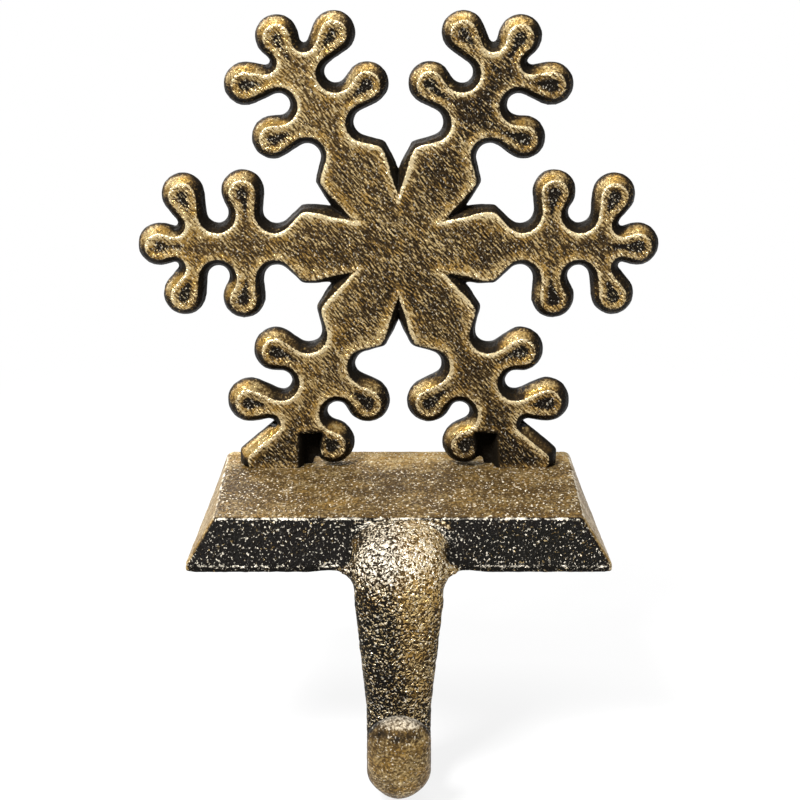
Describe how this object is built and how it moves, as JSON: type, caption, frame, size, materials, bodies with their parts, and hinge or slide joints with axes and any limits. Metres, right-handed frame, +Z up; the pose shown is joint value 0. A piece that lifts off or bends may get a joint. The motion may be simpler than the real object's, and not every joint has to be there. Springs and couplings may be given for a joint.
{
  "type": "mantel stocking holder",
  "caption": "Cast-iron mantel stocking holder: a bevelled plate that rests on a shelf, a snowflake standing on it on flat feet, and a J-shaped hook hanging in front of the shelf's edge.",
  "frame": {"origin": "middle of the plate's footprint, on the plane where the plate rests on the shelf", "axes": "+X to the right seen from the front, -Y towards the front where the hook hangs, +Z up"},
  "size_m": [0.1262, 0.103, 0.1703],
  "materials": {
    "bronzed_iron_base": "near-black coat brushed with gold on the raised parts, satin",
    "bronzed_iron_flake": "near-black coat brushed with gold on the ridges, satin",
    "dark_steel": "blackened"
  },
  "bodies": {
    "root": {"base_with_hook": "bronzed_iron_base", "snowflake": "bronzed_iron_flake", "fixing_screws": "dark_steel"}
  },
  "joints": []
}
